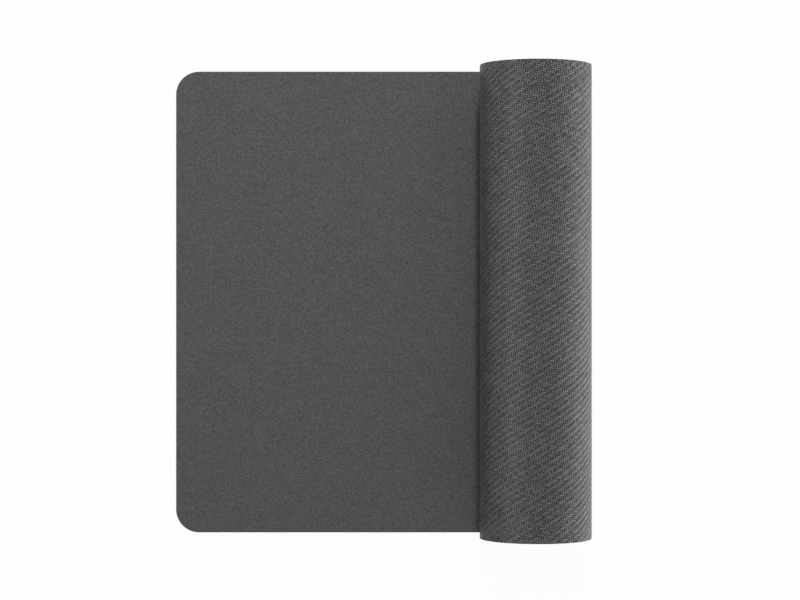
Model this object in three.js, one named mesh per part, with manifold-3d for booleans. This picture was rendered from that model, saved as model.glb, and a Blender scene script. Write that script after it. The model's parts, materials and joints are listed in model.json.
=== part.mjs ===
import * as THREE from "three";
import { mergeVertices } from "three/addons/utils/BufferGeometryUtils.js";
import loadManifold from "manifold-3d";

// Cloth mouse pad, half unrolled. A foam rubber base carries a bonded cloth face.
// The left stretch lies flat with the cloth up, and the right end curls up and over into a loose roll
// with the rubber outside. Millimetres, +Z up, X along the pad and Y across it.

// Driving dimensions
const padLength = 600; // whole pad, laid flat
const padDepth = 300;
const cornerRadius = 15;
const baseThickness = 2.45;
const clothThickness = 0.5;
const bondLine = 0.05; // glue between the base and the cloth
const flatLength = 230; // from the left edge to where the roll leaves the desk
const rollWidth = 71; // across the roll, seen from above
const turnGap = 1.5; // air between two turns of the roll
const stripCount = 28; // strips that the rolled stretch bends between
const stripSlit = 0.06; // between two strips, at the rubber's outer face
const facetsPerStrip = 3;
const cornerFacets = 8;

// What follows from them
const sheetThickness = baseThickness + bondLine + clothThickness;
const turnPitch = sheetThickness + turnGap;
const radiusLoss = turnPitch / (2 * Math.PI); // per radian, so that all turns lie the same gap apart
const startRadius = (rollWidth + turnPitch) / 2; // of the outer face, where it leaves the desk
const rolledLength = padLength - flatLength;
const fullTurn = (startRadius - Math.sqrt(startRadius ** 2 - 2 * radiusLoss * rolledLength)) / radiusLoss;
const stripTurn = fullTurn / stripCount;

const wasm = await loadManifold();
wasm.setup();

const clothMaterial = new THREE.MeshStandardMaterial({ color: 0x565656, roughness: 0.95, metalness: 0 });
const rubberMaterial = new THREE.MeshStandardMaterial({ color: 0x4c4c4c, roughness: 0.8, metalness: 0 });

// Length along the outer face, from the left edge, after the roll has turned by an angle
function lengthAt(turn) {
  return flatLength + startRadius * turn - (radiusLoss * turn ** 2) / 2;
}

// A point of the roll's cross-section (x, z), so deep under the outer face
function rollPoint(turn, depth) {
  const x = startRadius * Math.sin(turn) - radiusLoss * (turn * Math.sin(turn) + Math.cos(turn) - 1);
  const z = startRadius * (1 - Math.cos(turn)) - radiusLoss * (Math.sin(turn) - turn * Math.cos(turn));
  return new THREE.Vector2(x - depth * Math.sin(turn), z + depth * Math.cos(turn));
}

// The same point as seen from the strip that starts at another turn, with its hinge as the origin
function pointFromHinge(turn, depth, hingeTurn) {
  const hinge = rollPoint(hingeTurn, 0);
  return rollPoint(turn, depth).sub(hinge).rotateAround(new THREE.Vector2(), -hingeTurn);
}

// An (x, z) outline drawn out across the pad's depth
function acrossPad(points) {
  const options = { depth: padDepth, bevelEnabled: false };
  const geometry = new THREE.ExtrudeGeometry(new THREE.Shape(points), options);
  return geometry.translate(0, 0, -padDepth / 2).rotateX(Math.PI / 2);
}

// The pad's outline as cut, a rounded rectangle that starts at x = 0
function padOutline() {
  const low = -padDepth / 2 + cornerRadius;
  const high = padDepth / 2 - cornerRadius;
  const left = cornerRadius;
  const right = padLength - cornerRadius;
  const quarter = Math.PI / 2;
  const outline = new THREE.Shape();
  outline.absarc(right, high, cornerRadius, 0, quarter);
  outline.absarc(left, high, cornerRadius, quarter, 2 * quarter);
  outline.absarc(left, low, cornerRadius, 2 * quarter, 3 * quarter);
  outline.absarc(right, low, cornerRadius, 3 * quarter, 4 * quarter);
  outline.closePath();
  return outline;
}

function toSolid(geometry) {
  const bare = geometry.clone();
  bare.deleteAttribute("normal");
  bare.deleteAttribute("uv");
  const merged = mergeVertices(bare);
  const vertProperties = new Float32Array(merged.attributes.position.array);
  const triVerts = new Uint32Array(merged.index.array);
  return new wasm.Manifold(new wasm.Mesh({ numProp: 3, vertProperties, triVerts }));
}

function toGeometry(solid) {
  const mesh = solid.getMesh();
  const geometry = new THREE.BufferGeometry();
  geometry.setAttribute("position", new THREE.BufferAttribute(mesh.vertProperties, 3));
  geometry.setIndex(new THREE.BufferAttribute(mesh.triVerts, 1));
  geometry.computeVertexNormals();
  return geometry;
}

// Trims a stretch of the sheet to the pad's rounded outline. The outline is laid on the stretch's tangent
// plane where the given length of the pad touches it.
function trimToOutline(geometry, touchLength, touchPoint, tilt) {
  const depth = 4 * sheetThickness; // enough to pass through a bent strip
  const options = { depth, bevelEnabled: false, curveSegments: cornerFacets };
  const cutter = new THREE.ExtrudeGeometry(padOutline(), options);
  cutter.translate(-touchLength, 0, -depth / 2);
  cutter.rotateY(-tilt);
  cutter.translate(touchPoint.x, 0, touchPoint.y);
  return toGeometry(toSolid(geometry).intersect(toSolid(cutter)));
}

// One layer of the flat stretch
function flatLayer(bottom, top) {
  const end = flatLength - stripSlit / 2;
  const corners = [
    new THREE.Vector2(0, bottom),
    new THREE.Vector2(end, bottom),
    new THREE.Vector2(end, top),
    new THREE.Vector2(0, top),
  ];
  return trimToOutline(acrossPad(corners), 0, new THREE.Vector2(), 0);
}

// One layer of a rolled strip, in its hinge's frame
function stripLayer(index, outer, inner) {
  const hingeTurn = index * stripTurn;
  const slitTurn = stripSlit / 2 / (startRadius - radiusLoss * hingeTurn);
  const first = hingeTurn + slitTurn;
  const step = (stripTurn - 2 * slitTurn) / facetsPerStrip;
  const turns = Array.from({ length: facetsPerStrip + 1 }, (_, facet) => first + facet * step);
  const outerEdge = turns.map((turn) => pointFromHinge(turn, outer, hingeTurn));
  const innerEdge = turns.map((turn) => pointFromHinge(turn, inner, hingeTurn));
  const strip = acrossPad([...outerEdge, ...innerEdge.reverse()]);
  if (lengthAt(hingeTurn + stripTurn) <= padLength - cornerRadius) {
    return strip;
  }
  const middle = hingeTurn + stripTurn / 2;
  return trimToOutline(strip, lengthAt(middle), pointFromHinge(middle, 0, hingeTurn), stripTurn / 2);
}

function piece(name, geometry, material) {
  const mesh = new THREE.Mesh(geometry, material.clone());
  mesh.name = name;
  return mesh;
}

const clothStart = baseThickness + bondLine;
const pad = new THREE.Group();
pad.add(piece("base_flat", flatLayer(0, baseThickness), rubberMaterial));
pad.add(piece("cloth_flat", flatLayer(clothStart, sheetThickness), clothMaterial));

// Each strip's group stands at its hinge and carries the next one, as the strips of the sheet do
let carrier = pad;
let place = new THREE.Vector2(flatLength, 0);
for (let index = 0; index < stripCount; index += 1) {
  const number = String(index + 1).padStart(2, "0");
  const strip = new THREE.Group();
  strip.name = `bend_${number}`;
  strip.position.set(place.x, 0, place.y);
  strip.rotation.y = index === 0 ? 0 : -stripTurn;
  strip.add(piece(`base_strip_${number}`, stripLayer(index, 0, baseThickness), rubberMaterial));
  strip.add(piece(`cloth_strip_${number}`, stripLayer(index, clothStart, sheetThickness), clothMaterial));
  carrier.add(strip);
  carrier = strip;
  place = pointFromHinge((index + 1) * stripTurn, 0, index * stripTurn);
}

// The origin is under the middle of the pad's box, on the desk
const mousePad = new THREE.Group();
mousePad.add(pad);
mousePad.updateMatrixWorld(true);
pad.position.x = -new THREE.Box3().setFromObject(pad, true).getCenter(new THREE.Vector3()).x;

export default mousePad;
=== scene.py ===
import json
import math

import bpy
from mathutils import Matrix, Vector

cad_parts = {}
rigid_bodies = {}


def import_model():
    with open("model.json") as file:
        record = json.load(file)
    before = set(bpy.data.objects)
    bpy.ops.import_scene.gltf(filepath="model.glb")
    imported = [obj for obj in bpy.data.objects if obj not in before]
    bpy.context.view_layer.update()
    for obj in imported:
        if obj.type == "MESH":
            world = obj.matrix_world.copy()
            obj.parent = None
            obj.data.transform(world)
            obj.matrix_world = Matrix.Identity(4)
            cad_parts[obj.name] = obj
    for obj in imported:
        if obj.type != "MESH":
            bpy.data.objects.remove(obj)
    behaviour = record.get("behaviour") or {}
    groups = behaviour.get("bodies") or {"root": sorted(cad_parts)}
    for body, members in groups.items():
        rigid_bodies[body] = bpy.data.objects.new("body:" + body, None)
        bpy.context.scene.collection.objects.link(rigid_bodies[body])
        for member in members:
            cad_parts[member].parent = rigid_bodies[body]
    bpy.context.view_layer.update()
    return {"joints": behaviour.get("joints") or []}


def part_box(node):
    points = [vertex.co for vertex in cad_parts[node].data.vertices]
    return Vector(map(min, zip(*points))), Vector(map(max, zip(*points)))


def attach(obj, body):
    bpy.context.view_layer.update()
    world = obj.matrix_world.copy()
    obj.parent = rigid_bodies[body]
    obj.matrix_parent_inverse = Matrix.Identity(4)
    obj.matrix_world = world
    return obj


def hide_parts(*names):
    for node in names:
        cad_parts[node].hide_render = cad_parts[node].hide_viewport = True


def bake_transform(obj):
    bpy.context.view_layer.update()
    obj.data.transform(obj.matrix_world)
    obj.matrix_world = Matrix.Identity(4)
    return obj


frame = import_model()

scene = bpy.context.scene
scene.view_settings.view_transform = "Standard"


# A socket of a node tree, so that sums on it read as plain Python
class Wire:
    def __init__(self, tree, socket=None):
        self.tree = tree
        self.socket = socket

    def make(self, kind, settings=None, sockets=None, out=0):
        node = self.tree.nodes.new(kind)
        for name, value in (settings or {}).items():
            setattr(node, name, value)
        for name, value in (sockets or {}).items():
            for one in value if isinstance(value, list) else [value]:
                if isinstance(one, Wire):
                    self.tree.links.new(one.socket, node.inputs[name])
                else:
                    node.inputs[name].default_value = one
        return Wire(self.tree, node.outputs[out] if len(node.outputs) else None)

    def math(self, operation, other=0.0):
        return self.make("ShaderNodeMath", {"operation": operation}, {0: self, 1: other})

    def clamp(self, low=0.0, high=1.0):
        return self.math("MAXIMUM", low).math("MINIMUM", high)

    def ramp(self, low, high):  # 0 below low and 1 above high, with soft ends
        settings = {"interpolation_type": "SMOOTHSTEP"}
        return self.make("ShaderNodeMapRange", settings, {"Value": self, "From Min": low, "From Max": high})

    def vector(self, x=0.0, y=0.0, z=0.0):
        return self.make("ShaderNodeCombineXYZ", None, {"X": x, "Y": y, "Z": z})

    def parts(self):
        return [self.make("ShaderNodeSeparateXYZ", None, {0: self}, axis) for axis in "XYZ"]

    def noise(self, sockets):
        return self.make("ShaderNodeTexNoise", None, {"Vector": self, **sockets})

    def mix(self, none, full):  # from one colour to another
        return self.make("ShaderNodeMix", {"data_type": "RGBA"}, {0: self, 6: none, 7: full}, 2)

    def tint(self, dark, light):  # from one grey to another
        return self.mix((dark, dark, dark, 1), (light, light, light, 1))

    def __add__(self, other):
        return self.math("ADD", other)

    def __sub__(self, other):
        return self.math("SUBTRACT", other)

    def __mul__(self, other):
        return self.math("MULTIPLY", other)

    def __truediv__(self, other):
        return self.math("DIVIDE", other)

    def __rsub__(self, other):
        return self.make("ShaderNodeMath", {"operation": "SUBTRACT"}, {0: other, 1: self})

    __radd__ = __add__
    __rmul__ = __mul__


# The sheet as the frame gives it: flat up to the first bend, then a spiral with the rubber outside
bends = frame["joints"]
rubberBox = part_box("base_flat")
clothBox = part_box("cloth_flat")
tangent = Vector(bends[0]["pos_m"])  # where the roll leaves the desk
stripTurn = math.radians(bends[1]["range_deg"][1])
leftEdge = rubberBox[0].x
flatLength = tangent.x - leftEdge
padDepth = rubberBox[1].y - rubberBox[0].y
glueDepth = clothBox[0].z  # the rubber is made up to the cloth, with no glue gap
sheetDepth = clothBox[1].z


# The spiral's radius at the desk and its loss per radian, from the place of the last bend
def spiralSizes():
    turn = stripTurn * (len(bends) - 1)
    sine, cosine = math.sin(turn), math.cos(turn)
    reach = Vector(bends[-1]["pos_m"]) - tangent
    lossX = turn * sine + cosine - 1
    lossZ = sine - turn * cosine
    share = (1 - cosine) * lossX - sine * lossZ
    radius = (reach.z * lossX - reach.x * lossZ) / share
    loss = (reach.z * sine - reach.x * (1 - cosine)) / share
    return radius, loss


startRadius, radiusLoss = spiralSizes()


def lengthAt(turn):  # along the sheet's outer face, from its left edge
    return flatLength + startRadius * turn - radiusLoss * turn ** 2 / 2


padLength = lengthAt(stripTurn * len(bends))
print("sheet", round(padLength, 4), "x", round(padDepth, 4))
print("spiral radius", round(startRadius, 5), "with a loss of", round(radiusLoss, 6), "per radian")

sheetSizes = {
    "Left Edge": leftEdge,
    "Flat Length": flatLength,
    "Start Radius": startRadius,
    "Radius Loss": radiusLoss,
    "Pad Length": padLength,
    "Pad Depth": padDepth,
    "Corner Radius": 0.015,
}


# Node trees that make the sheet's layers and its emboss in flat lengths, and then curl them
def newTree(name, lengths, counts):
    tree = bpy.data.node_groups.new(name, "GeometryNodeTree")
    tree.interface.new_socket("Geometry", in_out="INPUT", socket_type="NodeSocketGeometry")
    for label in [*sheetSizes, *lengths]:
        tree.interface.new_socket(label, in_out="INPUT", socket_type="NodeSocketFloat")
    for label in counts:
        tree.interface.new_socket(label, in_out="INPUT", socket_type="NodeSocketInt")
    tree.interface.new_socket("Material", in_out="INPUT", socket_type="NodeSocketMaterial")
    tree.interface.new_socket("Geometry", in_out="OUTPUT", socket_type="NodeSocketGeometry")
    entry = tree.nodes.new("NodeGroupInput")
    return tree, {socket.name: Wire(tree, socket) for socket in entry.outputs if socket.name}


def halfDepth(size, length):  # from the middle line to the cut edge
    radius = size["Corner Radius"]
    toEnd = length.math("MINIMUM", size["Pad Length"] - length)
    short = (radius - toEnd).clamp(0.0, radius)
    return size["Pad Depth"] / 2 - radius + (radius * radius - short * short).math("SQRT")


def edgeDistance(size, length, across):  # to the nearest cut edge
    radius = size["Corner Radius"]
    half = size["Pad Length"] / 2
    endways = (length - half).math("ABSOLUTE") - half + radius
    sideways = across.math("ABSOLUTE") - size["Pad Depth"] / 2 + radius
    outX = endways.math("MAXIMUM", 0.0)
    outY = sideways.math("MAXIMUM", 0.0)
    inside = endways.math("MAXIMUM", sideways).math("MINIMUM", 0.0)
    return radius - (outX * outX + outY * outY).math("SQRT") - inside


def curled(size, length, across, depth):
    radius, loss = size["Start Radius"], size["Radius Loss"]
    past = (length - size["Flat Length"]).math("MAXIMUM", 0.0)
    turn = (radius - (radius * radius - 2 * loss * past).math("SQRT")) / loss
    sine, cosine = turn.math("SINE"), turn.math("COSINE")
    x = size["Left Edge"] + length.math("MINIMUM", size["Flat Length"])
    x = x + radius * sine - loss * (turn * sine + cosine - 1) - depth * sine
    z = radius * (1 - cosine) - loss * (sine - turn * cosine) + depth * cosine
    return length.vector(x, across, z)


def stored(mesh, name, value, kind, domain="POINT"):
    settings = {"data_type": kind, "domain": domain}
    sockets = {"Geometry": mesh, "Name": name, "Value": value}
    return mesh.make("GeometryNodeStoreNamedAttribute", settings, sockets)


# Keeps the flat place for the materials, and curls the mesh
def laidOut(size, mesh, length, across, depth):
    mesh = stored(mesh, "sheetPlace", length.vector(length, across, depth), "FLOAT_VECTOR")
    mesh = stored(mesh, "toEdge", edgeDistance(size, length, across), "FLOAT")
    place = curled(size, length, across, depth)
    return mesh.make("GeometryNodeSetPosition", None, {"Geometry": mesh, "Position": place})


# How far a layer stands inwards at rest so that it lies level when the strips are unrolled
def levelling(size, length, depth):
    run = length - size["Bend At"]
    place = size["Bend At"] + run * (1 - depth * size["Curvature"])
    weight = place.ramp(size["Bend From"], size["Bend To"])
    curve = run.math("MAXIMUM", size["Curve From"]) * size["Curvature"] / 2
    lean = size["Lead Angle"] + curve - weight * size["Bend Turn"]
    return 0 - run * lean.math("SINE")


# A slab of sheet between two depths, with a rounded edge on its inner side
def layerTree():
    lengths = ["From", "To", "Spread Start", "Spread End", "Outer", "Inner", "Outer Level", "Edge Round"]
    lengths += ["Crowd Start", "Crowd End", "Crowd Rows"]
    lengths += ["Bend At", "Bend From", "Bend To", "Bend Turn", "Lead Angle", "Curvature", "Curve From"]
    tree, size = newTree("sheetLayer", lengths, ["Columns", "Rows"])
    blank = Wire(tree)
    counts = {"Size": (1, 1, 1), "Vertices X": size["Columns"], "Vertices Y": size["Rows"], "Vertices Z": 2}
    slab = blank.make("GeometryNodeMeshCube", None, counts)
    x, y, z = blank.make("GeometryNodeInputPosition").parts()
    inner = z + 0.5
    depth = size["Outer"] + (size["Inner"] - size["Outer"]) * inner
    start = size["From"] - size["Spread Start"] * depth
    end = size["To"] + size["Spread End"] * depth
    share = 1 - (1 - (x + 0.5).math("POWER", size["Crowd Start"])).math("POWER", size["Crowd End"])
    length = start + (end - start) * share
    inwards = (1 - (y * 2).math("ABSOLUTE")).math("MAXIMUM", 0.0)
    outwards = 1 - inwards.math("POWER", size["Crowd Rows"])
    across = y.math("SIGN") * outwards * halfDepth(size, length)
    levelShare = size["Outer Level"] + (1 - size["Outer Level"]) * inner
    near = (1 - edgeDistance(size, length, across) / size["Edge Round"]).clamp()
    drop = size["Edge Round"] * (1 - (1 - near * near).math("SQRT"))
    depth = depth + levelShare * levelling(size, length, depth) - drop * inner
    slab = laidOut(size, slab, length, across, depth)
    slab = blank.make("GeometryNodeRealizeInstances", None, {"Geometry": slab})
    slab = blank.make("GeometryNodeSetMaterial", None, {"Geometry": slab, "Material": size["Material"]})
    blank.make("NodeGroupOutput", None, {"Geometry": slab})
    return tree


barTones = {"along": (0.25, 0.73), "athwart": (0.3, 0.93)}  # the darkest and the lightest bars


# Bars at right angles in a herringbone: on a grid of cells, cell sum 0 of 4 starts a bar along the sheet
# and cell sum 2 of 4 starts a bar across it
def embossTree():
    lengths = ["From", "To", "Cell Along", "Cell Across", "Pattern Turn", "Groove Along", "Groove Across"]
    lengths += ["Reach Along", "Reach Across", "Bar Depth", "Bar Foot", "Bar Slope"]
    tree, size = newTree("embossBars", lengths, ["First Column", "First Row", "Columns", "Rows"])
    blank = Wire(tree)
    spanX, spanY = size["Columns"] - 1, size["Rows"] - 1
    counts = {"Size X": spanX, "Size Y": spanY, "Vertices X": size["Columns"], "Vertices Y": size["Rows"]}
    cells = blank.make("GeometryNodeMeshGrid", None, counts)
    x, y, _ = blank.make("GeometryNodeInputPosition").parts()
    column = (x + spanX / 2 + size["First Column"]).math("ROUND")
    row = (y + spanY / 2 + size["First Row"]).math("ROUND")
    cellSum = (column + row).math("FLOORED_MODULO", 4.0)
    sine, cosine = size["Pattern Turn"].math("SINE"), size["Pattern Turn"].math("COSINE")
    spin = blank.vector(z=size["Pattern Turn"])

    def bars(firstSum, cellsAlong, cellsAcross, longer, wider, tones):
        a = (column + cellsAlong / 2) * size["Cell Along"]
        b = (row + cellsAcross / 2) * size["Cell Across"]
        length = a * cosine - b * sine
        across = a * sine + b * cosine
        outside = (length - size["From"]).math("LESS_THAN", 0.0) + length.math("GREATER_THAN", size["To"])
        outside = outside + across.math("ABSOLUTE").math("GREATER_THAN", halfDepth(size, length))
        starts = (cellSum - firstSum).math("ABSOLUTE").math("LESS_THAN", 0.5) * (1 - outside)
        middles = {"Mesh": cells, "Selection": starts, "Position": blank.vector(length, across)}
        points = blank.make("GeometryNodeMeshToPoints", None, middles)
        long = size["Cell Along"] * cellsAlong + longer
        wide = size["Cell Across"] * cellsAcross + wider
        high = size["Bar Depth"] + size["Bar Foot"]
        bar = blank.make("GeometryNodeMeshCube", None, {"Size": blank.vector(long, wide, high)})
        barX, barY, barZ = blank.make("GeometryNodeInputPosition").parts()
        slope = barZ.math("LESS_THAN", 0.0) * size["Bar Slope"]  # on the outer side, which comes to depth 0
        narrowX, narrowY = [side - side.math("SIGN") * slope for side in (barX, barY)]
        shape = {"Geometry": bar, "Position": blank.vector(narrowX, narrowY, barZ + high / 2)}
        bar = blank.make("GeometryNodeSetPosition", None, shape)
        repeat = {"Points": points, "Instance": bar, "Rotation": spin}
        bar = blank.make("GeometryNodeInstanceOnPoints", None, repeat)
        spread = {2: tones[0], 3: tones[1], "Seed": firstSum + 1}
        tone = blank.make("FunctionNodeRandomValue", {"data_type": "FLOAT"}, spread, 1)
        return stored(bar, "barTone", tone, "FLOAT", "INSTANCE")

    along = bars(0, 2, 1, 2 * size["Reach Along"], 0 - size["Groove Across"], barTones["along"])
    athwart = bars(2, 1, 2, 0 - size["Groove Along"], 2 * size["Reach Across"], barTones["athwart"])
    joined = blank.make("GeometryNodeJoinGeometry", None, {"Geometry": [along, athwart]})
    joined = blank.make("GeometryNodeRealizeInstances", None, {"Geometry": joined})
    x, y, z = blank.make("GeometryNodeInputPosition").parts()
    length = x.clamp(0.0, size["Pad Length"])
    edge = halfDepth(size, length)
    across = y.clamp(0 - edge, edge)  # cut off flush with the sheet
    joined = laidOut(size, joined, length, across, z)
    joined = blank.make("GeometryNodeSetMaterial", None, {"Geometry": joined, "Material": size["Material"]})
    whole = blank.make("GeometryNodeJoinGeometry", None, {"Geometry": [size["Geometry"], joined]})
    blank.make("NodeGroupOutput", None, {"Geometry": whole})
    return tree


sharpAngle = math.radians(30)


def madeByNodes(name, steps):
    holder = bpy.data.objects.new(name + "Nodes", bpy.data.meshes.new(name + "Nodes"))
    scene.collection.objects.link(holder)
    for tree, values in steps:
        modifier = holder.modifiers.new(tree.name, "NODES")
        modifier.node_group = tree
        for socket in tree.interface.items_tree:
            if socket.in_out == "INPUT" and socket.name in values:
                modifier[socket.identifier] = values[socket.name]
    graph = bpy.context.evaluated_depsgraph_get()
    result = holder.evaluated_get(graph)
    mesh = bpy.data.meshes.new_from_object(result, preserve_all_data_layers=True, depsgraph=graph)
    bpy.data.objects.remove(holder)
    mesh.name = name
    mesh.set_sharp_from_angle(angle=sharpAngle)
    piece = bpy.data.objects.new(name, mesh)
    scene.collection.objects.link(piece)
    return piece


# Materials
def newMaterial(name):
    material = bpy.data.materials.new(name)
    material.use_nodes = True
    material.node_tree.nodes.clear()
    return material, Wire(material.node_tree)


def attribute(blank, name, out):
    return blank.make("ShaderNodeAttribute", {"attribute_name": name}, None, out)


clothLook = {
    "dark": 0.062,
    "light": 0.122,
    "wale": 0.00046,  # width of one column of stitches
    "course": 0.00040,  # height of one row of stitches
    "slant": 0.9,  # courses that a stitch's legs climb in a wale's width
    "furrow": (0.3, 0.5),  # where the stitches sink between two wales, in shares of a wale from its middle
    "furrowDepth": 0.7,
    "grain": {"Scale": 1450, "Detail": 1.5},
    "streak": {"Scale": 1.0, "Detail": 3.0},
    "streakScale": (140, 420, 420),
    "cloud": {"Scale": 24, "Detail": 2.0},
    "weights": {"grain": 4.0, "streak": 0.4, "cloud": 0.2, "stitch": 0.3, "edge": 0.5},
    "middle": 0.36,  # between dark and light
    "edgeShadeWidth": 0.0005,  # width of the line painted darker along the cut edge, as painted shade on the rounded edge
    "grainHeight": 0.6,
    "bump": {"Strength": 0.35, "Distance": 0.0001},
    "roughness": 0.93,
    "sheen": 0.12,
}


def clothKnit():
    material, blank = newMaterial("clothKnit")
    place = attribute(blank, "sheetPlace", "Vector")
    toEdge = attribute(blank, "toEdge", "Fac")
    along, across, _ = place.parts()
    wale = (across / clothLook["wale"]).math("FRACT")
    side = (wale - 0.5).math("ABSOLUTE")  # 0 on the stitch and 0.5 between two
    leg = along / clothLook["course"] + side * clothLook["slant"]
    ridge = (leg * (2 * math.pi)).math("COSINE") * 0.5 + 0.5
    stitch = ridge * (1 - side.ramp(*clothLook["furrow"]) * clothLook["furrowDepth"])
    grain = place.noise(clothLook["grain"]) - 0.5
    drawn = blank.make("ShaderNodeMapping", None, {"Vector": place, "Scale": clothLook["streakScale"]})
    streak = drawn.noise(clothLook["streak"]) - 0.5
    cloud = place.noise(clothLook["cloud"]) - 0.5
    weights = clothLook["weights"]
    tone = grain * weights["grain"] + streak * weights["streak"] + cloud * weights["cloud"]
    # the stitches' relief is painted into the tone too, as painted shade where the stitches sink
    tone = tone + stitch * weights["stitch"] + clothLook["middle"]
    # painted shade along the cut edge
    line = 1 - toEdge.ramp(0.0, clothLook["edgeShadeWidth"])
    tone = (tone - line * weights["edge"]).clamp()
    height = stitch + grain * clothLook["grainHeight"]
    surface = {
        "Base Color": tone.tint(clothLook["dark"], clothLook["light"]),
        "Roughness": clothLook["roughness"],
        "Sheen Weight": clothLook["sheen"],
        "Normal": blank.make("ShaderNodeBump", None, {"Height": height, **clothLook["bump"]}),
    }
    shader = blank.make("ShaderNodeBsdfPrincipled", None, surface)
    blank.make("ShaderNodeOutputMaterial", None, {"Surface": shader})
    return material


rubberLook = {
    # near-black painted shade, in the grooves between the bars and in the foam's pores
    "hollowShade": 0.006,
    "barTop": 0.242,
    "barSpread": 0.8,  # how much the bars differ in tone
    "cutEdge": 0.07,
    "grooveShadeDepths": (0.00001, 0.00006),  # depths over which a bar's side is painted dark, as painted shade in the grooves
    "foamDepths": (0.00045, 0.000675),  # over which the cut edge begins to show foam
    "pore": 0.0005,
    "poreTones": (0.15, 0.6),  # from a pore's middle to its wall, as painted shade in the pore's hollow
    "poreHeights": (0.1, 0.5),
    "grain": {"Scale": 500, "Detail": 3.0, "Roughness": 0.6},
    "cloud": {"Scale": 40, "Detail": 2.0},
    "faceWeights": {"grain": 0.24, "cloud": 0.14},
    "foamWeights": {"pores": 0.6, "grain": 0.5},
    "grainHeight": 0.5,
    "bump": {"Strength": 0.3, "Distance": 0.00012},
    "roughness": {"least": 0.26, "grain": 0.12, "foam": 0.35},
    "specular": 0.27,
}


def rubberFoam():
    material, blank = newMaterial("rubberFoam")
    place = attribute(blank, "sheetPlace", "Vector")
    barTone = attribute(blank, "barTone", "Fac")
    depth = place.parts()[2]
    # painted shade: a bar's side turns dark with depth, standing in for the shade in the grooves
    sunk = depth.ramp(*rubberLook["grooveShadeDepths"])
    onEdge = depth.ramp(*rubberLook["foamDepths"])
    grain = place.noise(rubberLook["grain"])
    cloud = place.noise(rubberLook["cloud"])
    cellSize = {"Vector": place, "Scale": 1 / rubberLook["pore"]}
    pores = blank.make("ShaderNodeTexVoronoi", None, cellSize, "Distance")
    faceWeights, foamWeights = rubberLook["faceWeights"], rubberLook["foamWeights"]
    face = (1 - sunk) * (1 - (1 - barTone) * rubberLook["barSpread"])
    face = face + (grain - 0.5) * faceWeights["grain"] + (cloud - 0.5) * faceWeights["cloud"]
    # the bar colour runs down to the painted groove shade
    faceColour = face.math("MAXIMUM", 0.0).tint(rubberLook["hollowShade"], rubberLook["barTop"])
    # painted shade in the pores' hollows, with the foam's grain
    poreShadeAndGrain = pores.ramp(*rubberLook["poreTones"]) * foamWeights["pores"] + grain * foamWeights["grain"]
    foamColour = poreShadeAndGrain.tint(rubberLook["hollowShade"], rubberLook["cutEdge"])
    height = grain * rubberLook["grainHeight"] + onEdge * pores.ramp(*rubberLook["poreHeights"])
    rough = rubberLook["roughness"]
    surface = {
        "Base Color": onEdge.mix(faceColour, foamColour),
        "Roughness": rough["least"] + grain * rough["grain"] + onEdge * rough["foam"],
        "Specular IOR Level": rubberLook["specular"],
        "Normal": blank.make("ShaderNodeBump", None, {"Height": height, **rubberLook["bump"]}),
    }
    shader = blank.make("ShaderNodeBsdfPrincipled", None, surface)
    blank.make("ShaderNodeOutputMaterial", None, {"Surface": shader})
    return material


layer = layerTree()
emboss = embossTree()
knit = clothKnit()
foam = rubberFoam()
print("node trees and materials made")


# Stretches of the sheet: the flat one, then one over each bend from the middle of one strip to the next
bending = {
    "reach": 2.88,  # half strips over which a bend turns, so that a seam has a quarter of it from each side
    "firstReach": 2.0,
    "spread": 1.05 * stripTurn / 4,  # more length with depth, so that the seams close when unrolled
}
seams = [2 * flatLength - lengthAt(stripTurn / 2)]
seams += [lengthAt((index + 0.5) * stripTurn) for index in range(len(bends) - 1)]
seams.append(padLength)
flatStretch = {"from": 0.0, "to": seams[0]}


def bendStretch(index):
    isFirst, isLast = index == 0, index == len(bends) - 1
    turn = index * stripTurn
    at = lengthAt(turn)
    nextMiddle = lengthAt(turn + stripTurn / 2)
    return {
        "from": seams[index],
        "to": seams[index + 1],
        "Spread Start": 0.0 if isFirst else bending["spread"],
        "Spread End": 0.0 if isLast else bending["spread"],
        "Bend At": at,
        "Bend From": at if isFirst else at - (at - seams[index]) * bending["reach"],
        "Bend To": at + (nextMiddle - at) * bending["firstReach" if isFirst else "reach"],
        "Bend Turn": math.radians(bends[index]["range_deg"][1]),
        "Lead Angle": 0.0 if isFirst else stripTurn / 2,
        "Curvature": 1 / (startRadius - radiusLoss * turn),
        "Curve From": 0.0 if isFirst else -padLength,
    }


stillStretch = {
    "Spread Start": 0.0,
    "Spread End": 0.0,
    "Bend At": padLength,
    "Bend From": padLength,
    "Bend To": 2 * padLength,
    "Bend Turn": 0.0,
    "Lead Angle": 0.0,
    "Curvature": 0.0,
    "Curve From": 0.0,
}
embossBar = {
    "Cell Along": 0.001465,
    "Cell Across": 0.001128,
    "Pattern Turn": math.radians(6.8),
    "Groove Along": 0.00078,  # between bars that lie across
    "Groove Across": 0.00035,  # between bars that lie along
    "Reach Along": 0.00010,  # of a bar's end past its cells
    "Reach Across": -0.00023,  # these bars end short of their cells
    "Bar Depth": 0.00034,
    "Bar Foot": 0.00004,  # sunk into the rubber
    "Bar Slope": 0.00005,
}
spareCells = 3  # on each side of a stretch
clothLayer = {"Outer": glueDepth, "Inner": sheetDepth, "Outer Level": 1.0, "Edge Round": 0.0004}
rubberLayer = {
    "Outer": embossBar["Bar Depth"],
    "Inner": glueDepth,
    "Outer Level": 0.0,
    "Edge Round": 0.00001,
}
flatGrid = {"Columns": 61, "Rows": 41, "Crowd Start": 2.2, "Crowd End": 1.0, "Crowd Rows": 2.5}
bendGrid = {"Columns": 15, "Rows": 41, "Crowd Start": 1.0, "Crowd End": 1.0, "Crowd Rows": 2.5}
endGrid = {"Columns": 49, "Rows": 41, "Crowd Start": 1.0, "Crowd End": 2.0, "Crowd Rows": 2.5}


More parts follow.
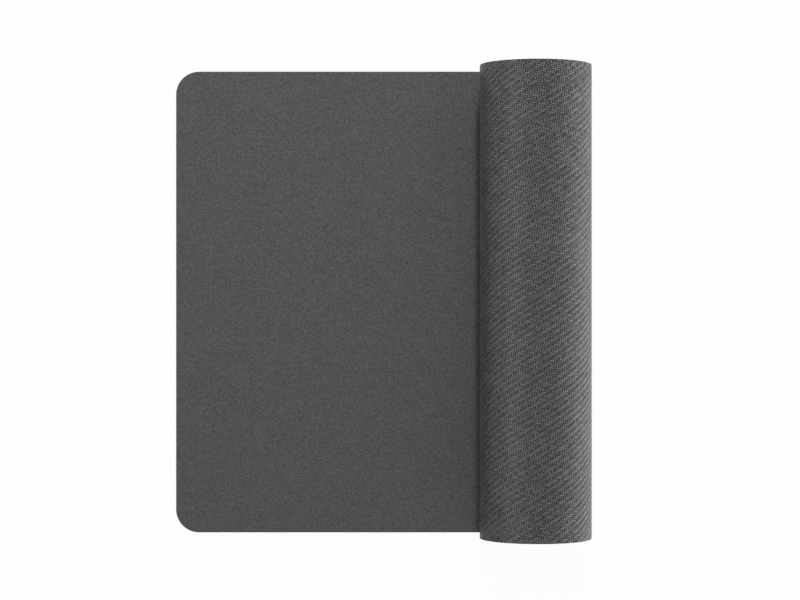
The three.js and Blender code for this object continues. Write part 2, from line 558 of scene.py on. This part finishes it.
def layerStep(stretch, sizes, grid, material):
    values = {**sheetSizes, **stillStretch, **stretch, **sizes, **grid, "Material": material}
    return layer, {**values, "From": stretch["from"], "To": stretch["to"]}


def embossStep(start, end):  # with the cells that can reach this stretch
    lean = embossBar["Pattern Turn"]
    half = padDepth / 2
    corners = [(u, v) for u in (start, end) for v in (-half, half)]
    columns = [(u * math.cos(lean) + v * math.sin(lean)) / embossBar["Cell Along"] for u, v in corners]
    rows = [(v * math.cos(lean) - u * math.sin(lean)) / embossBar["Cell Across"] for u, v in corners]
    firstColumn = math.floor(min(columns)) - spareCells
    firstRow = math.floor(min(rows)) - spareCells
    counts = {
        "First Column": firstColumn,
        "First Row": firstRow,
        "Columns": math.ceil(max(columns)) + spareCells - firstColumn,
        "Rows": math.ceil(max(rows)) + spareCells - firstRow,
    }
    return emboss, {**sheetSizes, **embossBar, **counts, "From": start, "To": end, "Material": foam}


def dressed(piece, node, body):
    if isinstance(body, dict):
        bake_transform(piece)
    else:
        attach(piece, body)
    if node:
        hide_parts(node)


embossPieces = 3  # under the flat stretch, so that each one has few enough triangles


def makeFlat():
    rubber = madeByNodes("rubberFlat", [layerStep(flatStretch, rubberLayer, flatGrid, foam)])
    dressed(rubber, "base_flat", "flat")
    ends = [flatStretch["to"] * number / embossPieces for number in range(embossPieces + 1)]
    for number in range(embossPieces):
        bars = madeByNodes(f"embossFlat{number + 1}", [embossStep(ends[number], ends[number + 1])])
        dressed(bars, None, "flat")
    cloth = madeByNodes("clothFlat", [layerStep(flatStretch, clothLayer, flatGrid, knit)])
    dressed(cloth, "cloth_flat", "flat")


def makeBend(index):
    number = f"{index + 1:02d}"
    stretch = bendStretch(index)
    grid = endGrid if index == len(bends) - 1 else bendGrid
    hinge = Vector(bends[index]["pos_m"])
    onward = Vector((math.cos(index * stripTurn), 0, math.sin(index * stripTurn)))
    body = {
        "parent": bends[index]["parent"],
        "child": bends[index]["child"],
        "start": hinge + onward * (stretch["Bend From"] - stretch["Bend At"]),
        "end": hinge + onward * (stretch["Bend To"] - stretch["Bend At"]),
    }
    steps = [layerStep(stretch, rubberLayer, grid, foam), embossStep(stretch["from"], stretch["to"])]
    rubber = madeByNodes(f"rubberBend{number}", steps)
    dressed(rubber, f"base_strip_{number}", body)
    cloth = madeByNodes(f"clothBend{number}", [layerStep(stretch, clothLayer, grid, knit)])
    dressed(cloth, f"cloth_strip_{number}", body)
    stretch["to"] - stretch["from"]


makeFlat()
print("flat stretch made")
for index in range(len(bends)):
    makeBend(index)
print("rolled stretch made in", len(bends), "bends")


# White floor and backdrop, soft light and the camera
studio = {
    "floorSide": 8.0,
    "floorDrop": 0.0002,  # under the bars' tops
    "floorGrey": 0.85,
    "whiteShare": 0.97,  # of the floor's white that shadows don't reach
    "skyLevel": 0.375,
    "skyRight": 0.03,  # more from the right, and less from the left
    "skyBack": 0.12,  # more from the back, and less from the front
}


def rayMask(blank):  # 1 for the rays that see the background as plain white
    kinds = ("Is Camera Ray", "Is Glossy Ray", "Is Transmission Ray")
    return sum(blank.make("ShaderNodeLightPath", None, None, kind) for kind in kinds).math("MINIMUM", 1.0)


def makeFloor():
    half = studio["floorSide"] / 2
    corners = [(-half, -half), (half, -half), (half, half), (-half, half)]
    mesh = bpy.data.meshes.new("floor")
    mesh.from_pydata([(x, y, -studio["floorDrop"]) for x, y in corners], [], [(0, 1, 2, 3)])
    material, blank = newMaterial("whiteFloor")
    grey = studio["floorGrey"]
    paper = blank.make("ShaderNodeBsdfDiffuse", None, {"Color": (grey, grey, grey, 1)})
    white = blank.make("ShaderNodeEmission", None, {"Color": (1, 1, 1, 1), "Strength": 1.0})
    shares = {0: rayMask(blank) * studio["whiteShare"], 1: paper, 2: white}
    mixed = blank.make("ShaderNodeMixShader", None, shares)
    blank.make("ShaderNodeOutputMaterial", None, {"Surface": mixed})
    mesh.materials.append(material)
    floor = bpy.data.objects.new("floor", mesh)
    scene.collection.objects.link(floor)


def makeSky():
    world = bpy.data.worlds.new("studio")
    world.use_nodes = True
    world.node_tree.nodes.clear()
    blank = Wire(world.node_tree)
    seen = rayMask(blank)
    x, y, _ = blank.make("ShaderNodeTexCoord", None, None, "Generated").parts()
    level = (studio["skyLevel"] + x * studio["skyRight"] + y * studio["skyBack"]).math("MAXIMUM", 0.0)
    level = seen + (1 - seen) * level
    sky = blank.make("ShaderNodeBackground", None, {"Color": (1, 1, 1, 1), "Strength": level})
    blank.make("ShaderNodeOutputWorld", None, {"Surface": sky})
    scene.world = world


lamps = {
    "topLamp": {"at": (0.101, 1.0, 1.1), "wide": 0.117, "high": 0.66, "watts": 13.7},
    "leftPanel": {"at": (-0.95, 0.0, 0.95), "wide": 0.8, "high": 0.95, "watts": 3.1, "onlyGloss": True},
}

# A light table right of the roll. Its areas are x from and to, then y from and to. They keep off the edges
# of the unrolled pad.
lightTable = {
    "drop": 0.0001,  # between the pad and the floor
    "wattsPerArea": 46.0,
    "areas": {
        "underPad": (0.265, 0.455, -0.14, 0.14),
        "pastPad": (0.5, 0.895, -0.18, 0.18),
        "frontWing": (0.265, 0.895, -0.6, -0.18),
        "backWing": (0.265, 0.895, 0.18, 0.6),
    },
}


def tableLamp(area):
    left, right, front, back = area
    wide, high = right - left, back - front
    middle = ((left + right) / 2, (front + back) / 2, -lightTable["drop"])
    watts = lightTable["wattsPerArea"] * wide * high
    faceUp = (math.pi, 0, 0)
    return {"at": middle, "wide": wide, "high": high, "watts": watts, "turn": faceUp}


def makeLamp(name, lamp):
    light = bpy.data.lights.new(name, "AREA")
    light.shape = "RECTANGLE"
    light.size = lamp["wide"]
    light.size_y = lamp["high"]
    light.energy = lamp["watts"]
    holder = bpy.data.objects.new(name, light)
    holder.location = lamp["at"]
    holder.visible_glossy = lamp.get("onlyGloss", False)  # gloss otherwise shows the white room
    holder.visible_diffuse = not holder.visible_glossy
    holder.visible_camera = False
    aimed = (-Vector(lamp["at"])).to_track_quat("-Z", "Y").to_euler()
    holder.rotation_euler = lamp.get("turn", aimed)
    scene.collection.objects.link(holder)


eye = {"at": (0.0121, -0.0078, 1.374), "sensor": 36, "lens": 94.77, "shiftUp": 0.0175}


def makeCamera():
    camera = bpy.data.cameras.new("eye")
    camera.sensor_width = eye["sensor"]
    camera.lens = eye["lens"]
    camera.shift_y = eye["shiftUp"]
    holder = bpy.data.objects.new("eye", camera)
    holder.location = eye["at"]
    scene.collection.objects.link(holder)
    scene.camera = holder


makeFloor()
makeSky()
for name, lamp in lamps.items():
    makeLamp(name, lamp)
for name, area in lightTable["areas"].items():
    makeLamp(name, tableLamp(area))
makeCamera()
print("studio made")
